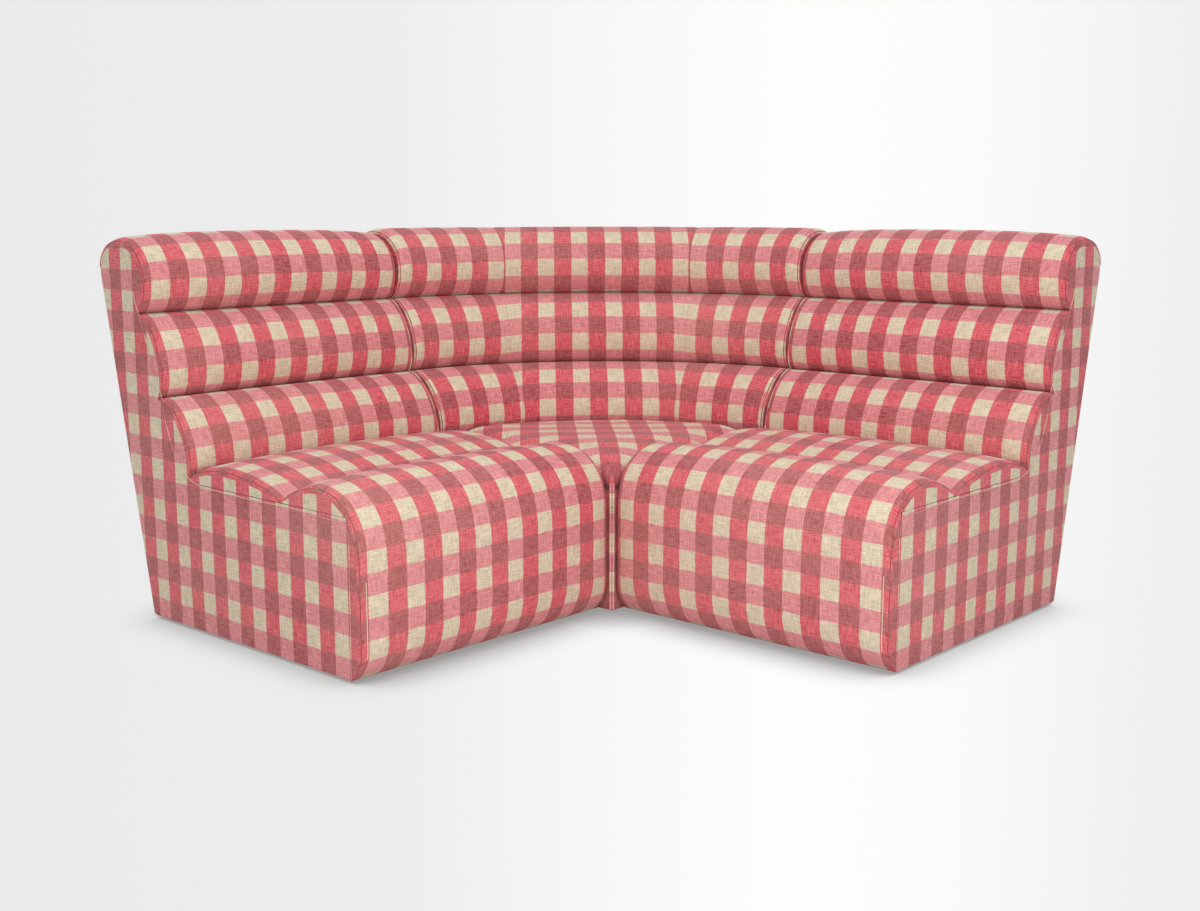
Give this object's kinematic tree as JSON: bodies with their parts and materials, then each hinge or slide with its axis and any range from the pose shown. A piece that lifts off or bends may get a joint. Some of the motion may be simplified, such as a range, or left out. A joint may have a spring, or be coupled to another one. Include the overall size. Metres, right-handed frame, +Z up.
{
  "type": "modular corner sofa",
  "caption": "Armless corner sofa of two straight units hooked to a quarter-round corner unit, with bolstered leaning back, rolled seat and checked fabric to the floor.",
  "frame": {"origin": "middle of the sofa's bounding box in plan, on the floor under the glides", "axes": "+X to the sitter's left as seen from the front, -Y the way the corner opens, +Z up"},
  "size_m": [2.4, 1.4652, 0.902],
  "materials": {
    "check_fabric": "woven red, rose and cream check, slubby linen-like weave",
    "plywood": "raw birch plywood",
    "timber": "planed softwood",
    "spring_steel": "bright drawn wire",
    "link_steel": "zinc plated sheet",
    "felt": "pressed felt",
    "webbing": "elastic webbing",
    "dust_cloth": "spunbond cloth",
    "glide_plastic": "moulded nylon"
  },
  "bodies": {
    "corner_unit": {"corner_gables": "plywood", "corner_ribs": "plywood", "corner_post": "timber", "corner_seat_rails": "timber", "corner_back_rails": "timber", "corner_seat_webbing": "webbing", "corner_back_webbing": "webbing", "corner_seat_pad": "check_fabric", "corner_lower_bolster": "check_fabric", "corner_middle_bolster": "check_fabric", "corner_top_bolster": "check_fabric", "corner_left_side": "check_fabric", "corner_right_side": "check_fabric", "corner_rear_panel": "check_fabric", "corner_dust_cover": "dust_cloth", "corner_glides": "glide_plastic", "corner_link_keepers": "link_steel", "corner_link_screws": "link_steel"},
    "left_unit": {"left_gables": "plywood", "left_seat_rails": "timber", "left_back_rails": "timber", "left_front_board": "plywood", "left_seat_springs": "spring_steel", "left_spring_clips": "spring_steel", "left_seat_felt": "felt", "left_back_webbing": "webbing", "left_front_roll": "check_fabric", "left_rear_roll": "check_fabric", "left_lower_bolster": "check_fabric", "left_middle_bolster": "check_fabric", "left_top_bolster": "check_fabric", "left_outer_side": "check_fabric", "left_inner_side": "check_fabric", "left_rear_panel": "check_fabric", "left_dust_cover": "dust_cloth", "left_glides": "glide_plastic", "left_link_hooks": "link_steel", "left_link_screws": "link_steel"},
    "right_unit": {"right_gables": "plywood", "right_seat_rails": "timber", "right_back_rails": "timber", "right_front_board": "plywood", "right_seat_springs": "spring_steel", "right_spring_clips": "spring_steel", "right_seat_felt": "felt", "right_back_webbing": "webbing", "right_front_roll": "check_fabric", "right_rear_roll": "check_fabric", "right_lower_bolster": "check_fabric", "right_middle_bolster": "check_fabric", "right_top_bolster": "check_fabric", "right_outer_side": "check_fabric", "right_inner_side": "check_fabric", "right_rear_panel": "check_fabric", "right_dust_cover": "dust_cloth", "right_glides": "glide_plastic", "right_link_hooks": "link_steel", "right_link_screws": "link_steel"}
  },
  "joints": [
    {"name": "left_lift", "type": "slide", "parent": "corner_unit", "child": "left_unit", "axis": [0, 0, 1], "range_m": [0, 0.06]},
    {"name": "right_lift", "type": "slide", "parent": "corner_unit", "child": "right_unit", "axis": [0, 0, 1], "range_m": [0, 0.06]}
  ]
}
